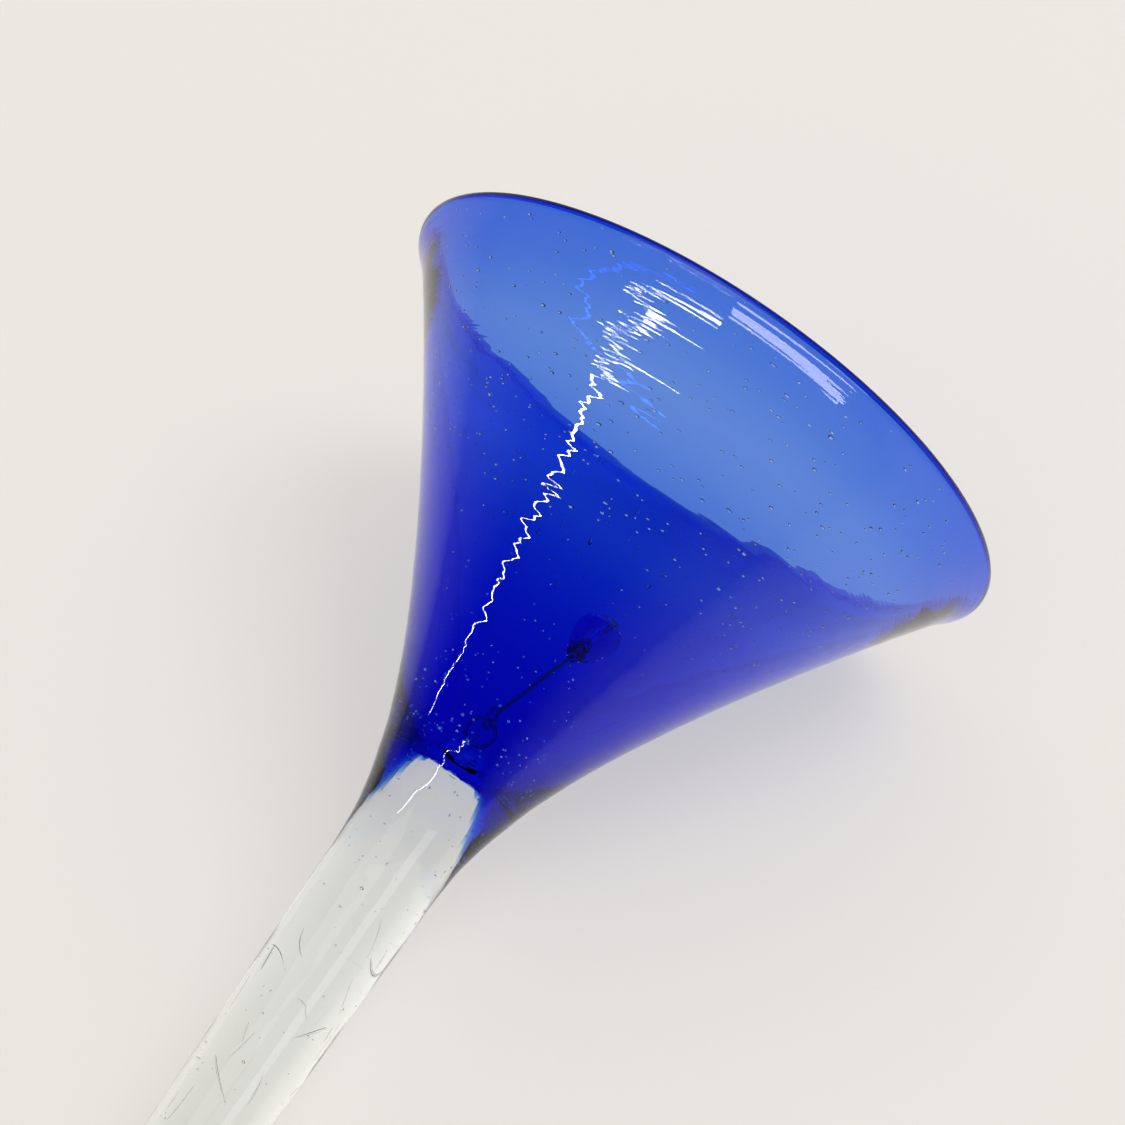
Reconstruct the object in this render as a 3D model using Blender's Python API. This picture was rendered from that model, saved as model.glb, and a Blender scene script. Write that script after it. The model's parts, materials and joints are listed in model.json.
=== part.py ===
"""Hand-blown glass table bell, lying on its side on its rim and on its handle's end pad.

Every piece is lathed or swept about the bell's own axis (local +X, from handle to mouth).
The empty "bell_frame" then lays that axis down in the world, rising towards the mouth.
Metres, +Z up. Run with: blender --background --python part.py
"""
import math

import bmesh
import bpy
from mathutils import Matrix, Vector

MM = 0.001
GAP = 0.3                      # clearance between pieces that touch in the real bell, mm

# --- the bell's own axis: stations x and radii r in mm, x = 0 at the bottom of the hollow
MOUTH_X = 59.6
OUTER = [(-18.0, 7.45), (-12.0, 7.8), (-7.0, 8.7), (-3.0, 9.8), (0.0, 10.7), (4.0, 12.2),
         (11.0, 15.3), (20.0, 20.0), (28.5, 24.9), (37.0, 30.2), (46.0, 36.1),
         (53.8, 41.4), (58.6, 44.9)]
INNER = [(2.0, 4.4), (4.0, 5.8), (8.0, 8.4), (13.0, 11.5), (20.0, 15.9), (29.0, 22.2),
         (38.0, 28.6), (47.0, 35.1), (52.0, 38.3), (57.0, 41.05), (58.9, 42.5)]
RIM_OUT_R, RIM_IN_R = 45.2, 43.4          # flat ring of the fire-polished mouth
CROWN_BASE = [(0.0, 0.0), (0.15, 1.5), (0.7, 3.0)]
PLUG_TIP_X, PLUG_END_X = -2.6, -18.0
PLUG = [(-2.6, 0.0), (-2.9, 2.2), (-4.2, 3.9), (-7.0, 5.0), (-11.0, 5.9), (-15.0, 6.5),
        (-18.0, 6.85)]                    # hollow under the crown that holds the handle
ROD = [(-18.3, 7.45), (-26.0, 7.3), (-40.0, 6.95), (-55.0, 6.6), (-72.0, 6.35),
       (-86.0, 6.4), (-91.6, 6.5)]
ROD_END_X = -92.0

PAD_CENTRE_X, PAD_HALF = -100.0, (13.5, 10.5, 7.6)
PAD_NECK_X = ROD_END_X - GAP
PAD_SOLE_Z = -6.0                         # depth of the pad's flat sole under its centre

EYE_X, EYE_R, EYE_WIRE = 3.3, 1.6, 0.5    # glass loop inside the crown
LINK_X, LINK_R, WIRE = 5.7, 2.0, 0.3      # wire ring through the eye
PIVOT_X = LINK_X + LINK_R                 # the clapper swings on the ring's far side
EYELET_R, EYELET_OFF = 1.5, 0.4
BEAD_L, BEAD_R, BEAD_BORE = 26.0, 3.4, 0.62
WIRE_END_L = 31.8
REST_SWING = math.radians(39.8)           # clapper lying on the lower wall

SIDES = 64
LAY_ANGLE = math.atan((RIM_OUT_R * math.cos(math.pi / SIDES) + PAD_SOLE_Z)
                      / (MOUTH_X - PAD_CENTRE_X))


def clear_scene():
    for obj in list(bpy.data.objects):
        bpy.data.objects.remove(obj, do_unlink=True)


def glass(name, colour, rough=0.03):
    mat = bpy.data.materials.new(name)
    mat.use_nodes = True
    bsdf = mat.node_tree.nodes["Principled BSDF"]
    bsdf.inputs["Base Color"].default_value = (*colour, 1.0)
    bsdf.inputs["Roughness"].default_value = rough
    bsdf.inputs["Metallic"].default_value = 0.0
    bsdf.inputs["IOR"].default_value = 1.5
    bsdf.inputs["Transmission Weight"].default_value = 0.9
    return mat


def metal(name, colour, rough):
    mat = bpy.data.materials.new(name)
    mat.use_nodes = True
    bsdf = mat.node_tree.nodes["Principled BSDF"]
    bsdf.inputs["Base Color"].default_value = (*colour, 1.0)
    bsdf.inputs["Roughness"].default_value = rough
    bsdf.inputs["Metallic"].default_value = 1.0
    return mat


def smooth_curve(points, per_span):
    """Catmull-Rom through the points, with per_span steps in each span."""
    pts = [Vector(p) for p in points]
    ends = [2 * pts[0] - pts[1], *pts, 2 * pts[-1] - pts[-2]]
    out = []
    for i in range(1, len(ends) - 2):
        a, b, c, d = ends[i - 1:i + 3]
        for k in range(per_span):
            t = k / per_span
            out.append(0.5 * (2 * b + (c - a) * t + (2 * a - 5 * b + 4 * c - d) * t * t
                              + (3 * b - 3 * c + d - a) * t ** 3))
    return [(v.x, v.y) for v in out] + [tuple(points[-1])]


def lathe(profile, sides, closed=False):
    """Turns (x, r) points about local X. Points at r = 0 become poles."""
    bm = bmesh.new()
    rings = []
    for x, r in profile:
        if r < 1e-6:
            rings.append([bm.verts.new((x * MM, 0.0, 0.0))])
            continue
        ring = []
        for k in range(sides):
            a = 2 * math.pi * (k + 0.5) / sides
            ring.append(bm.verts.new((x * MM, r * MM * math.sin(a), -r * MM * math.cos(a))))
        rings.append(ring)
    pairs = list(zip(rings, rings[1:]))
    if closed:
        pairs.append((rings[-1], rings[0]))
    for low, high in pairs:
        for k in range(sides):
            n = (k + 1) % sides
            if len(low) == 1:
                bm.faces.new((low[0], high[n], high[k]))
            elif len(high) == 1:
                bm.faces.new((low[k], low[n], high[0]))
            else:
                bm.faces.new((low[k], low[n], high[n], high[k]))
    bmesh.ops.recalc_face_normals(bm, faces=bm.faces)
    return bm


def ring_mesh(radius, wire, around, across, normal_axis):
    """A torus centred on the origin, lying in the plane across normal_axis."""
    bm = bmesh.new()
    rows = []
    for i in range(around):
        a = 2 * math.pi * i / around
        row = []
        for j in range(across):
            b = 2 * math.pi * j / across
            rad = radius + wire * math.cos(b)
            x, s, n = rad * math.cos(a), rad * math.sin(a), wire * math.sin(b)
            co = (x, n, s) if normal_axis == "Y" else (x, s, n)
            row.append(bm.verts.new(Vector(co) * MM))
        rows.append(row)
    for i in range(around):
        for j in range(across):
            m, n = (i + 1) % around, (j + 1) % across
            bm.faces.new((rows[i][j], rows[m][j], rows[m][n], rows[i][n]))
    bmesh.ops.recalc_face_normals(bm, faces=bm.faces)
    return bm


def add(name, bm, mat, parent, group, smooth=True):
    mesh = bpy.data.meshes.new(name)
    bm.to_mesh(mesh)
    bm.free()
    obj = bpy.data.objects.new(name, mesh)
    mesh.materials.append(mat)
    for poly in mesh.polygons:
        poly.use_smooth = smooth
    group.objects.link(obj)
    obj.parent = parent
    return obj


def empty(name, parent, location, group):
    obj = bpy.data.objects.new(name, None)
    obj.empty_display_size = 0.01
    obj.location = Vector(location) * MM
    obj.parent = parent
    group.objects.link(obj)
    return obj


def union(target, cutter, solver="EXACT"):
    mod = target.modifiers.new("join_" + cutter.name, "BOOLEAN")
    mod.operation, mod.solver, mod.object = "UNION", solver, cutter


def build():
    clear_scene()
    scene = bpy.context.scene
    group = bpy.data.collections.new("glass_bell")
    tools = bpy.data.collections.new("glass_bell_cutters")
    scene.collection.children.link(group)
    scene.collection.children.link(tools)

    cobalt = glass("cobalt_glass", (0.010, 0.035, 0.450))
    clear = glass("clear_glass", (0.690, 0.710, 0.690))
    drop_glass = glass("clapper_glass", (0.030, 0.060, 0.500))
    steel = metal("steel_wire", (0.520, 0.520, 0.510), 0.32)

    frame = empty("bell_frame", None, (0, 0, 0), group)
    frame.rotation_euler = (0.0, -LAY_ANGLE, 0.0)
    swivel = empty("clapper_swivel_axis", frame, (PIVOT_X, 0, 0), group)
    swing = empty("clapper_swing_axis", swivel, (0, 0, 0), group)
    swing.rotation_euler = (0.0, REST_SWING, 0.0)

    # the bell's shell: socket for the handle, outside, flat rim, hollow
    socket = [(x, r) for x, r in PLUG]
    outer = smooth_curve(OUTER, 2)
    rim = [(MOUTH_X - 0.35, RIM_OUT_R + 0.02), (MOUTH_X, RIM_OUT_R - 0.15),
           (MOUTH_X, RIM_IN_R)]
    inner = smooth_curve(CROWN_BASE + INNER, 2)[::-1]
    add("bell_shell", lathe(socket + outer + rim + inner, SIDES), cobalt, frame, group)

    # handle: a solid rod with a tapered plug that fills the socket
    plug = [(x - GAP, max(r - GAP, 0.0)) for x, r in PLUG[:-1]]
    plug.append((PLUG_END_X - GAP, PLUG[-1][1] - GAP))
    rod = smooth_curve(ROD, 2)
    add("handle_rod", lathe(plug + rod + [(ROD_END_X, 6.1), (ROD_END_X, 0.0)], 40),
        clear, frame, group)

    # end pad: a hot gather pressed flat underneath, so the bell doesn't roll
    bm = bmesh.new()
    bmesh.ops.create_uvsphere(bm, u_segments=36, v_segments=22, radius=1.0)
    bmesh.ops.rotate(bm, verts=bm.verts, matrix=Matrix.Rotation(math.pi / 2, 3, "Y"))
    for v in bm.verts:
        v.co = Vector((v.co.x * PAD_HALF[0] + PAD_CENTRE_X, v.co.y * PAD_HALF[1],
                       v.co.z * PAD_HALF[2])) * MM
    sole_up = Matrix.Rotation(LAY_ANGLE, 3, "Y") @ Vector((0, 0, 1))
    for point, keep in (((PAD_CENTRE_X, 0, PAD_SOLE_Z), sole_up),
                        ((PAD_NECK_X, 0, 0), Vector((-1, 0, 0)))):
        cut = bmesh.ops.bisect_plane(bm, geom=bm.verts[:] + bm.edges[:] + bm.faces[:],
                                     plane_co=Vector(point) * MM, plane_no=keep,
                                     clear_inner=True)
        edges = [e for e in cut["geom_cut"] if isinstance(e, bmesh.types.BMEdge)]
        bmesh.ops.holes_fill(bm, edges=edges, sides=0)
    bmesh.ops.recalc_face_normals(bm, faces=bm.faces)
    add("end_pad", bm, clear, frame, group)

    # eye in the crown: a button of glass with a loop drawn out of it
    button = [(0.35, 0.0), (0.5, 1.4), (0.95, 2.1), (1.6, 2.1), (2.1, 1.3), (2.25, 0.0)]
    eye = add("crown_eye", lathe(button, 24), clear, frame, group)
    loop = add("eye_loop", ring_mesh(EYE_R, EYE_WIRE, 28, 12, "Y"), clear, frame, tools)
    loop.location.x = EYE_X * MM
    loop.hide_render, loop.display_type = True, "WIRE"
    union(eye, loop)

    # wire ring through the eye; it swivels about the bell's axis
    ring = add("link_ring", ring_mesh(LINK_R, WIRE, 32, 10, "Z"), steel, swivel, group)
    ring.location.x = (LINK_X - PIVOT_X) * MM

    # clapper: eyelet and straight wire in one, bead threaded on it, stop under the bead
    wire = add("clapper_wire", lathe([(EYELET_OFF + EYELET_R - 0.1, 0.0),
                                      (EYELET_OFF + EYELET_R - 0.1, WIRE),
                                      (WIRE_END_L, WIRE), (WIRE_END_L, 0.0)], 12),
               steel, swing, group)
    eyelet = add("wire_eyelet", ring_mesh(EYELET_R, WIRE, 28, 10, "Y"), steel, swing, tools)
    eyelet.location.x = EYELET_OFF * MM
    eyelet.hide_render, eyelet.display_type = True, "WIRE"
    union(wire, eyelet)
    drop = [(-5.0, 0.95), (-3.7, 1.6), (-2.1, 2.5), (-0.3, 3.2), (1.0, BEAD_R), (2.3, 3.0),
            (3.2, 2.2), (3.6, 1.2)]
    bead = [(BEAD_L + x, r) for x, r in smooth_curve(drop, 2)]
    bore = [(BEAD_L + 3.6, BEAD_BORE), (BEAD_L - 5.0, BEAD_BORE)]
    add("clapper_bead", lathe(bead + bore, 28, closed=True), drop_glass, swing, group)
    low, high = BEAD_L + 3.6 + GAP, BEAD_L + 3.6 + GAP + 1.2
    stop = [(low, BEAD_BORE), (low, 1.0), (low + 0.3, 1.2), (high - 0.3, 1.2), (high, 1.0),
            (high, BEAD_BORE)]
    add("bead_stop", lathe(stop, 20, closed=True), steel, swing, group)

    # stand the whole on z = 0 with its box centred on the origin
    bpy.context.view_layer.update()
    corners = [o.matrix_world @ v.co for o in group.objects if o.type == "MESH"
               for v in o.data.vertices]
    lo = [min(c[i] for c in corners) for i in range(3)]
    hi = [max(c[i] for c in corners) for i in range(3)]
    frame.location = (-(lo[0] + hi[0]) / 2, -(lo[1] + hi[1]) / 2, -lo[2])
    bpy.context.view_layer.update()


build()
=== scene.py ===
import json
import math
import random

import bmesh
import bpy
import numpy as np
from mathutils import Matrix, Vector


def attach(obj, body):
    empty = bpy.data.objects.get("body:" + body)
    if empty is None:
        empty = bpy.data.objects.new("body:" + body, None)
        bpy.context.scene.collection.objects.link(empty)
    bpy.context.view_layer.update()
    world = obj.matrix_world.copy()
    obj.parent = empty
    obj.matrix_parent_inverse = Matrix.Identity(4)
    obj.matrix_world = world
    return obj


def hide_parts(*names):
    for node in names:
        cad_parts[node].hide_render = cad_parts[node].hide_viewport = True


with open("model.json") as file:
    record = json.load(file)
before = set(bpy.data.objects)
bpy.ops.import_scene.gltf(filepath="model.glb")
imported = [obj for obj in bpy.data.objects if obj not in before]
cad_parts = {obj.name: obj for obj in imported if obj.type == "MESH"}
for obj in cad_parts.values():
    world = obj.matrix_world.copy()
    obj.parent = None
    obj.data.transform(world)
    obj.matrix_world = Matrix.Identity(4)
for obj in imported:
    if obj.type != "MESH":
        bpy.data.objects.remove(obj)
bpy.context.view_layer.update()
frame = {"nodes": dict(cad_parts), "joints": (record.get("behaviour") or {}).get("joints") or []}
MM = 0.001
TURN = 2 * math.pi

# ---------------------------------------------------------------- the bell's own axes
# x runs along the bell from handle to mouth, 0 at the bottom of the hollow; angle 0 is up
swivel = frame["joints"][0]
PIVOT_X = 7.7
EX = Vector(swivel["axis"]).normalized()
EY = Vector((0, 1, 0))
EZ = EX.cross(EY)
ORIGIN = Vector(swivel["pos_m"]) - EX * PIVOT_X * MM
AXES = np.array([EX, EY, EZ])
START = np.array(ORIGIN)

# ---------------------------------------------------------------- profiles, x and r in mm
OUTER = [(-18.0, 7.45), (-12.0, 7.8), (-7.0, 8.7), (-3.0, 9.8), (0.0, 10.7), (4.0, 12.2),
         (11.0, 15.3), (20.0, 20.0), (28.5, 24.9), (37.0, 30.2), (46.0, 36.1),
         (53.0, 40.95), (55.9, 43.1), (57.1, 44.2), (57.81, 44.92)]
LIP_X, LIP_R, LIP_ROUND, LIP_SLOPE = 58.55, 44.17, 1.05, math.radians(44.5)
LIP = [(LIP_X + LIP_ROUND * math.cos(t), LIP_R + LIP_ROUND * math.sin(t))
       for t in np.linspace(math.pi / 2 + LIP_SLOPE, LIP_SLOPE - math.pi / 2, 25)]
INNER = [(0.0, 0.0), (0.15, 1.5), (0.7, 3.0), (2.0, 4.4), (4.0, 5.8), (8.0, 8.4),
         (13.0, 11.5), (20.0, 15.9), (29.0, 22.2), (38.0, 28.6), (47.0, 34.95),
         (51.0, 37.5), (54.0, 39.4), (56.5, 41.05), (58.0, 42.2), (59.05, 43.2)]
ROD = [(-18.3, 7.45), (-26.0, 7.3), (-40.0, 6.95), (-55.0, 6.6), (-72.0, 6.35),
       (-86.0, 6.4), (-91.6, 6.45)]
ROD_END_X, ROD_END_R = -92.0, 6.45
FUSED_GAP = 0.004                     # what is left between fused pieces of glass, mm
POLE_R = 0.05                         # the smallest ring round a pole
# drawn-out bubbles in the rod: station, angle in degrees, depth, half length, half width,
# slant in degrees, bend
CORDS = [(-34.0, 38, 0.5, 1.9, 0.13, 8, 0.03), (-32.6, 30, 0.6, 2.4, 0.05, 70, 0.10),
         (-30.6, 12, 0.6, 2.1, 0.06, 35, -0.12), (-45.0, 0, 0.7, 2.3, 0.07, -12, 0.02),
         (-43.4, 7, 0.9, 1.6, 0.05, 20, -0.04), (-48.5, -42, 0.6, 2.2, 0.07, 10, 0.03),
         (-36.5, -27, 0.5, 0.9, 0.07, 80, 0.25), (-37.2, -36, 0.5, 1.1, 0.05, 40, -0.2),
         (-39.5, 46, 0.3, 2.6, 0.06, 3, 0.01), (-55.0, 24, 0.7, 2.8, 0.06, -6, 0.02),
         (-60.0, -18, 0.8, 2.0, 0.06, 15, -0.05), (-71.0, 8, 0.6, 2.5, 0.07, -10, 0.03)]
FACE_ANGLE = math.radians(-19.4)      # the side of the neck where the clear tongue shows
# height of the blue-to-clear join: how far it falls over the distance from the neck's middle
# plane, and how far it rises behind the crown
JOIN = [(0.0, 0.0), (2.5, -0.02), (3.9, -0.3), (4.7, -1.6), (5.4, -4.0), (6.3, -7.5),
        (7.3, -11.6), (7.75, -14.3), (8.2, -17.3)]
JOIN_BACK = [(0.0, 0.0), (1.5, 0.12), (3.0, 0.6), (4.4, 1.4), (6.0, 2.1), (13.0, 4.0)]
JOIN_ROWS = 40
# end pad: centre, half sizes, depth of its flat sole, and length of its shoulder
PAD_X, PAD_HALF, PAD_SOLE, PAD_SHOULDER = -100.0, (13.5, 10.5, 7.6), -6.0, 2.2
PAD_TIP = PAD_X - PAD_HALF[0]

SIDES = 288
ANG = TURN * np.arange(SIDES) / SIDES


# ---------------------------------------------------------------- curves and noise
def spline(points, grid):
    """A smooth monotone curve through (x, y) points, read at grid."""
    px, py = np.array(points, float).T
    h = np.diff(px)
    d = np.diff(py) / h
    m = np.empty_like(px)
    m[1:-1] = np.where(d[:-1] * d[1:] > 0, 2 * d[:-1] * d[1:] / (d[:-1] + d[1:] + 1e-12), 0)
    m[0], m[-1] = d[0], d[-1]
    grid = np.asarray(grid, float)
    i = np.clip(np.searchsorted(px, grid) - 1, 0, len(h) - 1)
    t = np.clip((grid - px[i]) / h[i], 0, 1)
    a, b = 1 + t * t * (2 * t - 3), t * t * (3 - 2 * t)
    return (a * py[i] + b * py[i + 1]
            + (t * (t - 1) ** 2 * m[i] + t * t * (t - 1) * m[i + 1]) * h[i])


def wave_noise(seed, waves, spread=0.35):
    """Sum of sines in x, each with its own phase drift round the bell: f(x, angle).
    waves holds (wavelength mm, slope) rows; slope is the surface tilt in radians."""
    draw = random.Random(seed)
    parts = []
    for length, slope in waves:
        for _ in range(5):
            w = length * draw.uniform(0.75, 1.35)
            height = slope * w / TURN / math.sqrt(2.5)
            phase, times = draw.uniform(0, 6.283), draw.randint(1, 3)
            drift, start = draw.uniform(-1, 1) * spread * 6.283, draw.uniform(0, 6.283)
            parts.append((TURN / w, height, phase, times, drift, start))

    def f(x, a):
        out = 0.0
        for k, height, phase, times, drift, start in parts:
            out = out + height * np.sin(k * x + phase + drift * np.sin(times * a + start))
        return out
    return f


rough_out = wave_noise(3, [(5.0, 0.007), (2.1, 0.008), (0.8, 0.005)])
fine_rim = wave_noise(4, [(0.42, 0.026)], spread=0.2)
rough_in = wave_noise(5, [(6.0, 0.006), (2.2, 0.004), (0.9, 0.003)])
jag = wave_noise(6, [(1.1, 0.35), (2.4, 0.25)], spread=0.3)
rod_wave = wave_noise(8, [(16.0, 0.005), (5.0, 0.003)])
pad_wave = wave_noise(12, [(9.0, 0.010), (3.5, 0.006)], spread=0.2)


def to_world(points):
    return START + (points * MM) @ AXES


def ring(x, r):
    """Vertices at stations x and radii r, either of them per angle."""
    x, r = np.broadcast_to(x, ANG.shape), np.broadcast_to(r, ANG.shape)
    return np.stack([x, r * np.sin(ANG), r * np.cos(ANG)], -1)


def on_radius(x, r, a):
    """The point at station x, radius r and angle a."""
    return np.array([x, r * math.sin(a), r * math.cos(a)])


# ---------------------------------------------------------------- mesh building
def ball(subdivisions):
    """Points and inward-facing triangles of a unit sphere."""
    bm = bmesh.new()
    bmesh.ops.create_icosphere(bm, subdivisions=subdivisions, radius=1.0)
    bm.verts.index_update()
    pts = np.array([v.co for v in bm.verts])
    tris = np.array([[v.index for v in f.verts] for f in bm.faces])[:, ::-1]
    bm.free()
    return pts, tris


ICO_V, ICO_F = ball(2)
CORD_V, CORD_F = ball(3)


def grid_faces(rows):
    """Quads between rings of vertices."""
    i, k = np.meshgrid(np.arange(rows - 1), np.arange(SIDES), indexing="ij")
    n = (k + 1) % SIDES
    return np.stack([i * SIDES + k, i * SIDES + n, (i + 1) * SIDES + n, (i + 1) * SIDES + k],
                    -1).reshape(-1, 4).tolist()


def split_shading(mesh, polys, marks):
    """Sharpen the edges between fused faces and skin."""
    edge = np.empty(len(mesh.loops), np.int32)
    mesh.loops.foreach_get("edge_index", edge)
    per_loop = np.repeat(np.asarray(marks) > 0.5, [len(f) for f in polys])
    sides = np.zeros((2, len(mesh.edges)), bool)
    sides[0, edge[per_loop]] = True
    sides[1, edge[~per_loop]] = True
    sharp = mesh.attributes.new("sharp_edge", "BOOLEAN", "EDGE")
    sharp.data.foreach_set("value", sides.all(axis=0).tolist())


def make(name, rows, poles, bands, caps, mat, bubbles):
    """A closed body from rings of points along the bell's axes in mm, with a pole at either
    end and bubbles as hollows in it. bands (one per pair of rings) and caps (one per pole)
    hold 1 where the faces are fused to other glass."""
    p = np.concatenate([*rows, *([[x, 0, 0]] for x in poles)])
    low, high, last = len(p) - 2, len(p) - 1, (len(rows) - 1) * SIDES
    polys = grid_faces(len(rows))
    polys += [[(k + 1) % SIDES, k, low] for k in range(SIDES)]
    polys += [[last + k, last + (k + 1) % SIDES, high] for k in range(SIDES)]
    marks = np.repeat([*bands, *caps], SIDES).tolist()
    f = np.array([(*f, f[2]) if len(f) == 3 else tuple(f) for f in polys])
    volume = sum(np.einsum("ij,ij->", p[f[:, 0]], np.cross(p[f[:, k]], p[f[:, k + 1]]))
                 for k in (1, 2))
    turn = -1 if volume < 0 else 1
    polys, base = [f[::turn] for f in polys], len(p)
    for b in bubbles:
        small = ICO_F if len(b) == len(ICO_V) else CORD_F
        polys.extend((small + base).tolist())
        marks.extend([0.0] * len(small))
        base += len(b)
    mesh = bpy.data.meshes.new(name)
    mesh.from_pydata(to_world(np.concatenate([p, *bubbles])).tolist(), [], polys)
    mesh.polygons.foreach_set("use_smooth", [True] * len(mesh.polygons))
    attr = mesh.attributes.new("joined", "FLOAT", "FACE")
    attr.data.foreach_set("value", np.asarray(marks, np.float32))
    split_shading(mesh, polys, marks)
    mesh.materials.append(mat)
    obj = bpy.data.objects.new(name, mesh)
    bpy.context.scene.collection.objects.link(obj)
    return obj


# ---------------------------------------------------------------- materials
def new_material(name):
    """A material with its node tree and its shader."""
    mat = bpy.data.materials.new(name)
    mat.use_nodes = True
    return mat, mat.node_tree, mat.node_tree.nodes["Principled BSDF"]


def fill(tree, made, inputs):
    """Set sockets, by name or number, to values or to the outputs of other nodes."""
    for key, value in inputs.items():
        if isinstance(value, bpy.types.NodeSocket):
            tree.links.new(value, made.inputs[key])
        else:
            made.inputs[key].default_value = value


def node(tree, kind, inputs=None, **settings):
    """A new shader node with its settings and sockets."""
    made = tree.nodes.new("ShaderNode" + kind)
    for key, value in settings.items():
        setattr(made, key, value)
    fill(tree, made, inputs or {})
    return made


def glass(name, absorb, joined=False):
    """Glass that dims by absorb (r, g, b) per mm of path. Faces marked joined are fused to
    other glass, so they neither bend nor mirror light."""
    mat, tree, bsdf = new_material(name)
    bsdf.inputs["Base Color"].default_value = (1, 1, 1, 1)
    bsdf.inputs["Roughness"].default_value = 0.0
    bsdf.inputs["IOR"].default_value = 1.5
    bsdf.inputs["Transmission Weight"].default_value = 1.0
    top = max(absorb) * 1.05
    vol = tree.nodes.new("ShaderNodeVolumeAbsorption")
    vol.inputs["Density"].default_value = top / MM
    vol.inputs["Color"].default_value = (*(1 - c / top for c in absorb), 1)
    tree.links.new(vol.outputs["Volume"], tree.nodes["Material Output"].inputs["Volume"])
    place = node(tree, "TexCoord")
    cords = node(tree, "TexNoise",
                 {"Scale": 420.0, "Detail": 2.0, "Vector": place.outputs["Object"]})
    bump = node(tree, "Bump", {"Strength": 0.2, "Distance": 0.00001,
                               "Height": cords.outputs["Fac"]})
    fill(tree, bsdf, {"Normal": bump.outputs["Normal"]})
    if joined:
        mark = node(tree, "Attribute", attribute_name="joined")
        ior = node(tree, "MapRange", {"From Max": 1.0, "To Min": 1.5, "To Max": 1.0,
                                      "Value": mark.outputs["Fac"]})
        fill(tree, bsdf, {"IOR": ior.outputs["Result"]})
    return mat


def grind_end(mat, centre):
    """Roughen the glass round a point, where it was broken off the iron and ground."""
    tree = mat.node_tree
    place = node(tree, "TexCoord")
    away = node(tree, "VectorMath", {0: place.outputs["Object"], 1: centre},
                operation="DISTANCE")
    scar = node(tree, "MapRange", {"From Min": 0.0045, "From Max": 0.0095, "To Min": 0.55,
                                   "To Max": 0.0, "Value": away.outputs["Value"]})
    fill(tree, tree.nodes["Principled BSDF"], {"Roughness": scar.outputs["Result"]})


def steel(name, tint):
    """Drawn spring steel: grey, with fine draw lines and dull patches."""
    mat, tree, bsdf = new_material(name)
    bsdf.inputs["Metallic"].default_value = 1.0
    place = node(tree, "TexCoord")
    lines = node(tree, "TexNoise",
                 {"Scale": 5200.0, "Detail": 3.0, "Vector": place.outputs["Object"]})
    patch = node(tree, "TexNoise", {"Scale": 700.0, "Vector": place.outputs["Object"]})
    ramp = node(tree, "ValToRGB", {"Fac": patch.outputs["Fac"]})
    dull, bright = ramp.color_ramp.elements
    dull.position, bright.position = 0.35, 0.7
    dull.color, bright.color = (*(c * 0.72 for c in tint), 1), (*tint, 1)
    rough = node(tree, "MapRange", {"To Min": 0.2, "To Max": 0.5,
                                    "Value": lines.outputs["Fac"]})
    bump = node(tree, "Bump", {"Strength": 0.25, "Distance": 0.00002,
                               "Height": lines.outputs["Fac"]})
    fill(tree, bsdf, {"Base Color": ramp.outputs["Color"], "Roughness": rough.outputs["Result"],
                      "Normal": bump.outputs["Normal"]})
    return mat


CLEAR_ABSORB = (0.0035, 0.0008, 0.0018)
COBALT = glass("cobalt_glass_look", (1.2, 0.71, 0.045), joined=True)
CLEAR = glass("clear_glass_look", CLEAR_ABSORB, joined=True)
DROP = glass("clapper_glass_look", (1.2, 0.71, 0.03))
PAD_LOOK = glass("pad_glass_look", CLEAR_ABSORB, joined=True)
grind_end(PAD_LOOK, to_world(np.array([[PAD_TIP, 0.0, -1.0]]))[0])
WIRE_LOOK = steel("wire_look", (0.56, 0.555, 0.54))
STOP_LOOK = steel("stop_look", (0.50, 0.495, 0.48))


# ---------------------------------------------------------------- skin and join
def outer_r(x):
    """Radius of the plain outside, from the rod to the lip."""
    return np.where(x < ROD[0][0], spline(ROD[::-1], x), spline(ROD[:1] + OUTER, x))


def outside(x):
    """Radius of the blown outside: ripples, one squiggle, and two ridges by the rim."""
    ripple = rough_out(x, ANG) + fine_rim(x, ANG) * np.clip((x - 38) / 10, 0, 1)
    ripple = ripple * np.clip((x + 16) / 10, 0.0, 1) * np.clip((57.7 - x) / 0.5, 0, 1)
    squiggle = 0.005 * np.sin(5.7 * x) * np.exp(-((x - 31.3) / 1.1) ** 2)
    ridges = 0.020 * np.exp(-((x - 56.35) / 0.12) ** 2) + 0.014 * np.exp(-((x - 55.6) / 0.1) ** 2)
    on_top = np.exp(-((np.sin((ANG + 0.06) / 2) / 0.13) ** 4))
    return outer_r(x) + ripple + squiggle + ridges * on_top


def join_x(r, a):
    """Station of the blue-to-clear join at radius r and angle a."""
    across = np.abs(r * np.sin(a - FACE_ANGLE))
    toward = r * np.cos(a - FACE_ANGLE)
    ragged = 4.0 * jag(a * 16, a) * np.clip((across - 2.5) / 2.5, 0, 1) \
        * np.clip((r - 6.3) / 2.0, 0, 1)
    return (-0.12 - 0.24 * np.clip(toward, 0, None) + spline(JOIN_BACK, np.clip(-toward, 0, 13))
            + spline(JOIN, across) + ragged
            + jag(across * 1.3 + 3, a * 3) * np.clip(r / 4 - 0.7, 0, 1))


def edge_x(a):
    """Where the join meets the outside, by bisection."""
    lo, hi = np.full_like(a, -20.0), np.full_like(a, 6.0)
    for _ in range(30):
        mid = (lo + hi) / 2
        above = mid > join_x(outer_r(mid), a)
        hi, lo = np.where(above, mid, hi), np.where(above, lo, mid)
    return (lo + hi) / 2


EDGE = edge_x(ANG)
EDGE_R = outer_r(EDGE)


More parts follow.
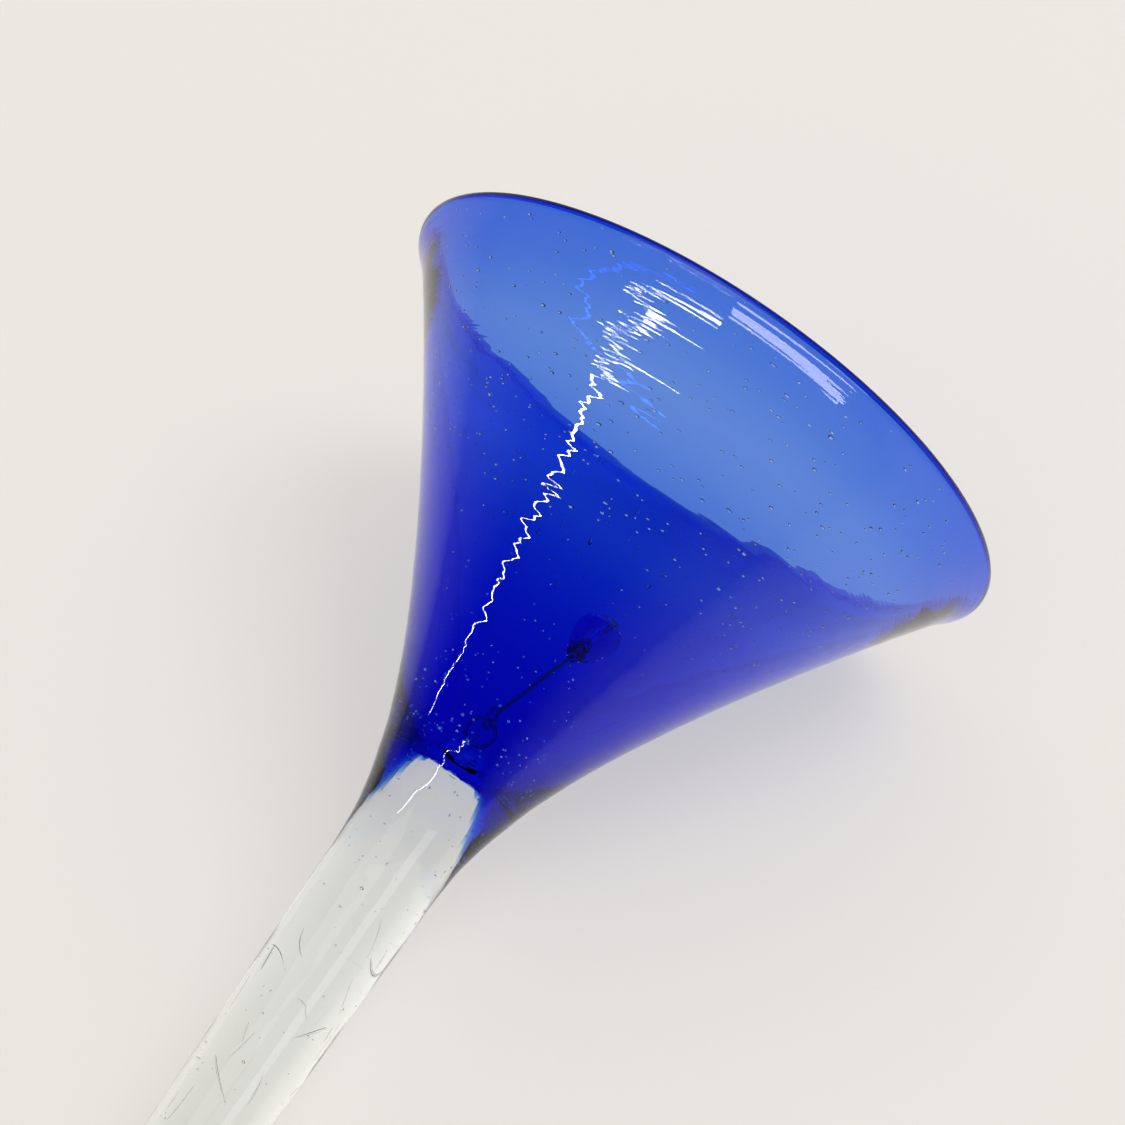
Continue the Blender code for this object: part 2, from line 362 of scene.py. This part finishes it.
def join_rings(gap=0.0):
    """Rings of the join, from its middle to the outside."""
    radii = [EDGE_R * ((i + 0.5) / JOIN_ROWS) for i in range(JOIN_ROWS)]
    radii[0] = np.full(SIDES, POLE_R)
    return [ring(join_x(r, ANG) - gap, r) for r in radii]


# ---------------------------------------------------------------- shell
def shell_rings():
    """The neck from the join's edge, the flare, the lip, and back down the inside."""
    low_top, flare, lip = 7.0, 44.0, 57.7
    for t in np.linspace(0, 1, 100)[:-1]:
        x = EDGE + (low_top - EDGE) * t
        yield ring(x, outside(x))
    for x in [*np.arange(low_top, flare, 0.16), *np.arange(flare, lip, 0.08)]:
        yield ring(x, outside(np.full(SIDES, x)))
    for x, r in LIP:
        yield ring(x, r)
    for x in np.arange(INNER[-1][0], 0.7, -0.2):
        swell = rough_in(x, ANG) * np.clip((59 - x), 0, 1) * min(1, x / 4)
        yield ring(x, spline(INNER, x) + swell)
    for x in (0.5, 0.35, 0.25, 0.15, 0.08, 0.03):
        yield ring(x, float(spline(INNER, x)))


def seed(x, a, depth, long, wide):
    """One bubble: its station, angle, share of the wall, and half sizes in mm."""
    r_out, r_in = float(outer_r(np.array(x))), float(spline(INNER, x))
    e_r, e_a, e_x = on_radius(0, 1, a), on_radius(0, 1, a + math.pi / 2), np.array([1.0, 0, 0])
    return (np.array([x, 0, 0]) + e_r * (r_in + (r_out - r_in) * depth)
            + ICO_V[:, :1] * e_a * long + ICO_V[:, 1:2] * e_x * wide
            + ICO_V[:, 2:] * e_r * wide)


def shell_seeds():
    """Small bubbles drawn out round the bell."""
    seeds = []
    for _ in range(900):                              # the flare
        x = 30 + 28.0 * rng.random() ** 0.8
        size = 0.10 + 0.09 * rng.random() ** 2
        seeds.append(seed(x, rng.uniform(0, 6.283), rng.uniform(0.35, 0.7),
                          size * rng.uniform(1.3, 2.8), size))
    for _ in range(500):                              # the lower wall, richer by the crown
        x = 1.5 + 29 * rng.random() ** 1.7
        size = (0.06 + 0.05 * rng.random() ** 2) * (1.5 if x < 9 else 1.0)
        seeds.append(seed(x, rng.uniform(0, 6.283), rng.uniform(0.5, 0.92),
                          size * rng.uniform(1.0, 2.2), size))
    while len(seeds) < 1800:                          # the blue either side of the tongue
        x, a = rng.uniform(-13, 3), rng.uniform(0, 6.283)
        size = 0.10 + 0.10 * rng.random() ** 2
        r = float(outer_r(np.array(x))) - size - rng.uniform(0.03, 0.2)
        if float(join_x(np.array(r), a)) < x - 0.5 and abs(math.sin(a - FACE_ANGLE)) > 0.4:
            seeds.append(on_radius(x, r, a) + ICO_V * size)
    for _ in range(14):                               # a few larger blisters
        x = rng.uniform(28, 55)
        seeds.append(seed(x, rng.uniform(0, 6.283), 0.6, 0.42, 0.26))
    return seeds


rng = random.Random(11)
rows = [*join_rings(), *shell_rings()]
bands = [1.0] * JOIN_ROWS + [0.0] * (len(rows) - 1 - JOIN_ROWS)
shell = make("shell_glass", rows, (rows[0][0, 0], 0.0), bands, (1.0, 0.0), COBALT, shell_seeds())
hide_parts("bell_shell")
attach(shell, "bell")


# ---------------------------------------------------------------- handle
def end_disc(x):
    """The flat end between rod and pad."""
    return [ring(x, r) for r in (POLE_R, 3.2, ROD_END_R)]


def rod_rings():
    """The rod's skin, from its end to the join's edge."""
    smooth_x = -19.0                                  # the rod is smooth from here upwards
    for x in np.arange(ROD[-1][0], smooth_x, 0.6):
        yield ring(x, outer_r(np.full(SIDES, x))
                   + rod_wave(x, ANG) * np.clip((smooth_x - x) / 5, 0, 1))
    for t in np.linspace(0, 1, 50):
        x = smooth_x + (EDGE - FUSED_GAP - smooth_x) * t
        yield ring(x, outer_r(x))


def cord(x, a, depth, long, wide, slant=0.0, bend=0.0):
    """A drawn-out bubble under the rod's skin; slant turns it from lengthwise to round."""
    u = CORD_V[:, 0] * long
    v = CORD_V[:, 1] * wide + bend * u * u
    c, s = math.cos(slant), math.sin(slant)
    angle = a + (u * s + v * c) / float(outer_r(np.array(x)))
    along = x + u * c - v * s
    r = outer_r(along) - depth + CORD_V[:, 2] * wide
    return np.stack([along, r * np.sin(angle), r * np.cos(angle)], -1)


def rod_specks():
    """Fine specks, the listed cords, and a few stray ones."""
    specks = []
    for _ in range(170):
        x, a = -1.5 - 88 * rng.random() ** 1.6, rng.uniform(0, 6.283)
        r = float(outer_r(np.array(x))) * rng.uniform(0.55, 0.93)
        if x < float(join_x(np.array(r), a)) - 0.6:
            size = 0.05 + 0.06 * rng.random() ** 2
            shape = np.array([size * rng.uniform(1, 2.5), size, size])
            specks.append(on_radius(x, r, a) + ICO_V * shape)
    for x, deg, depth, long, wide, slant, bend in CORDS:
        specks.append(cord(x, math.radians(deg), depth, long, wide, math.radians(slant), bend))
    for _ in range(16):
        specks.append(cord(rng.uniform(-88, -22), rng.uniform(0, 6.283), rng.uniform(0.4, 2.0),
                           rng.uniform(0.8, 3.0), rng.uniform(0.04, 0.08),
                           rng.uniform(-0.5, 0.5), rng.uniform(-0.05, 0.05)))
    return specks


skin = [*end_disc(ROD_END_X), *rod_rings()]
rows = skin + join_rings(FUSED_GAP)[::-1]
bands = [1.0] * 2 + [0.0] * (len(skin) - 3) + [1.0] * JOIN_ROWS
handle = make("handle_glass", rows, (ROD_END_X, rows[-1][0, 0]), bands, (1.0, 1.0), CLEAR,
              rod_specks())
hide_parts("handle_rod")
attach(handle, "bell")


# ---------------------------------------------------------------- end pad
def pad_rings():
    """The pad's skin, from the rod to its tip, with a flat sole that lies on the table."""
    lie = math.atan2(EX.z, EX.x)
    up = np.array([math.sin(lie), 0.0, math.cos(lie)])
    length = ROD_END_X - FUSED_GAP - PAD_TIP
    for t in np.linspace(0, 1, 90)[1:-1]:
        x = PAD_TIP + length * (1 + math.cos(math.pi * t)) / 2
        s = math.sqrt(max(1 - ((x - PAD_X) / PAD_HALF[0]) ** 2, 0.0))
        oval = s / np.sqrt((np.sin(ANG) / PAD_HALF[1]) ** 2 + (np.cos(ANG) / PAD_HALF[2]) ** 2)
        blend = min(max((ROD_END_X - x) / PAD_SHOULDER, 0), 1)
        blend = blend * blend * (3 - 2 * blend)
        row = ring(x, ROD_END_R + (oval - ROD_END_R) * blend + pad_wave(x, ANG) * s * blend)
        under = (row - np.array([PAD_X, 0, PAD_SOLE])) @ up
        yield row - np.minimum(under, 0)[:, None] * up


def pad_specks():
    """Round seeds in the pad."""
    specks = []
    for _ in range(26):
        way = np.array([rng.gauss(0, 1) for _ in range(3)])
        way *= rng.uniform(0.2, 0.8) / np.linalg.norm(way)
        spot = np.array([PAD_X, 0, 0.4]) + way * np.array([12.0, 9.0, 5.6])
        specks.append(spot + ICO_V * rng.uniform(0.05, 0.16))
    return specks


rows = [*end_disc(ROD_END_X - FUSED_GAP), *pad_rings()]
bands = [1.0] * 2 + [0.0] * (len(rows) - 3)
pad = make("pad_glass", rows, (ROD_END_X - FUSED_GAP, PAD_TIP), bands, (1.0, 0.0), PAD_LOOK,
           pad_specks())
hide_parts("end_pad")
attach(pad, "bell")

# ---------------------------------------------------------------- carried-over pieces
for name, mat in (("crown_eye", CLEAR), ("clapper_bead", DROP), ("link_ring", WIRE_LOOK),
                  ("clapper_wire", WIRE_LOOK), ("bead_stop", STOP_LOOK)):
    mesh = frame["nodes"][name].data
    mesh.materials.clear()
    mesh.materials.append(mat)


# ---------------------------------------------------------------- floor
def mirrored_rays(tree):
    """1 for rays mirrored by the glass, 0 for rays that went through it or come straight."""
    paths = node(tree, "LightPath")
    return node(tree, "Math", {0: paths.outputs["Is Glossy Ray"],
                               1: paths.outputs["Is Transmission Ray"]},
                operation="SUBTRACT", use_clamp=True).outputs[0]


def floor_look():
    """A pale matt top that gives off part of its light, with a painted dark reflection: where the
    glass mirrors it far away, it is dark.
    """
    mat, tree, bsdf = new_material("floor_look")
    bsdf.inputs["Roughness"].default_value = 0.9
    bsdf.inputs["Specular IOR Level"].default_value = 0.0
    bsdf.inputs["Emission Strength"].default_value = 0.53
    place = node(tree, "TexCoord")
    away = node(tree, "VectorMath", {0: place.outputs["Object"]}, operation="LENGTH")
    reach = node(tree, "MapRange", {"From Min": 0.10, "From Max": 0.32,
                                    "Value": away.outputs["Value"]})
    # painted dark reflection: rays mirrored by the glass see the floor dark far from the middle
    painted_dark_reflection = node(tree, "Math", {0: reach.outputs["Result"], 1: mirrored_rays(tree)},
                operation="MULTIPLY")
    tone = node(tree, "Mix", {"A": (0.812, 0.79, 0.76, 1), "B": (0.28, 0.27, 0.26, 1),
                              "Factor": painted_dark_reflection.outputs[0]}, data_type="RGBA")
    half = node(tree, "VectorMath", {0: tone.outputs["Result"], "Scale": 0.5},
                operation="SCALE")
    fill(tree, bsdf, {"Base Color": half.outputs[0], "Emission Color": tone.outputs["Result"]})
    return mat


bpy.ops.mesh.primitive_plane_add(size=40, location=(0, 0, -0.0003))
floor = bpy.context.object
floor.name = "floor"
floor.data.materials.append(floor_look())

# ---------------------------------------------------------------- lights
CENTRE = Vector((0.04, 0, 0.04))


def direction(azimuth, elevation):
    a, e = math.radians(azimuth), math.radians(elevation)
    return Vector((math.cos(e) * math.cos(a), math.cos(e) * math.sin(a), math.sin(e)))


def area_light(name, way, side, distance, size_x, size_y, radiance, colour=(1, 1, 1)):
    """A light that faces the bell from way, its width along side; radiance is its
    brightness as seen from the bell."""
    light = bpy.data.lights.new(name, "AREA")
    light.shape, light.size, light.size_y = "RECTANGLE", size_x, size_y
    light.energy, light.color = radiance * math.pi * size_x * size_y, colour
    obj = bpy.data.objects.new(name, light)
    bpy.context.scene.collection.objects.link(obj)
    obj.rotation_mode = "QUATERNION"
    obj.rotation_quaternion = Matrix((side, way.cross(side), way)).transposed().to_quaternion()
    obj.location = CENTRE + way * distance
    obj.visible_camera = False
    return obj


def softbox(name, azimuth, elevation, distance, size, radiance):
    way = direction(azimuth, elevation)
    side = Vector((0, 0, 1)).cross(way).normalized()
    return area_light(name, way, side, distance, size, size, radiance)


def strip(name, one, other, distance, width, radiance, colour=(1, 1, 1), through=False):
    """A long narrow light between two directions, each an (azimuth, elevation), for
    highlights only; through lets it show by way of the glass too."""
    a, b = direction(*one), direction(*other)
    long = 2 * distance * math.tan(a.angle(b) / 2)
    obj = area_light(name, (a + b).normalized(), (b - a).normalized(), distance, long, width,
                     radiance, colour)
    obj.visible_diffuse = False
    obj.visible_transmission = through


overhead = softbox("overhead", 45, 84, 2.2, 2.0, 0.9)
overhead.visible_diffuse = False
side = softbox("side", -60, 66, 2.2, 0.9, 5.0)             # lights the floor only
side.visible_glossy = side.visible_transmission = False
strip("strip", (124, 24.5), (183, 25), 1.3, 0.011, 38.0, through=True)
strip("strip_high", (127, 57), (199, 44.5), 1.3, 0.010, 38.0)
strip("strip_wide", (160, 27.3), (183, 25.2), 1.3, 0.04, 20.0)
strip("rim", (-179, 13.5), (-145, 1.5), 1.2, 0.18, 8.5, (1.0, 0.95, 1.0))
strip("stem", (-115, 33.5), (-90, 40), 1.2, 0.36, 1.7)


def studio():
    """Pale surroundings; the glass mirrors darker ones, which fade upwards."""
    world = bpy.data.worlds.new("studio")
    world.use_nodes = True
    tree = world.node_tree
    pale = tree.nodes["Background"]
    fill(tree, pale, {0: (0.94, 0.90, 0.84, 1), 1: 0.86})
    place = node(tree, "TexCoord")
    height = node(tree, "SeparateXYZ", {0: place.outputs["Generated"]})
    fall = node(tree, "MapRange", {"From Min": -0.05, "From Max": 0.45, "To Min": 0.26,
                                   "To Max": 0.03, "Value": height.outputs["Z"]},
                interpolation_type="SMOOTHSTEP")
    dark = node(tree, "Background", {0: (0.9, 0.93, 1.0, 1), 1: fall.outputs["Result"]})
    pick = node(tree, "MixShader", {0: mirrored_rays(tree), 1: pale.outputs[0],
                                    2: dark.outputs[0]})
    fill(tree, tree.nodes["World Output"], {0: pick.outputs[0]})
    return world


scene = bpy.context.scene
scene.world = studio()
scene.view_settings.view_transform = "Standard"

# ---------------------------------------------------------------- camera
CAM_E, CAM_AZ, CAM_D = math.radians(55.45), math.radians(34.55), 0.40
AIM = Vector((0.045, 0, 0.035))
look = Vector((math.cos(CAM_E) * math.cos(CAM_AZ), math.cos(CAM_E) * math.sin(CAM_AZ),
               -math.sin(CAM_E)))
cam = bpy.data.cameras.new("camera")
cam.lens, cam.sensor_width = 97.04, 36
cam.shift_x, cam.shift_y = 2.5 / 1125, 58.1 / 1125
cam.clip_start, cam.clip_end = 0.01, 20
cam_obj = bpy.data.objects.new("camera", cam)
scene.collection.objects.link(cam_obj)
cam_obj.location = AIM - look * CAM_D
cam_obj.rotation_mode = "QUATERNION"
cam_obj.rotation_quaternion = look.to_track_quat("-Z", "Y")
scene.camera = cam_obj

bpy.context.view_layer.update()
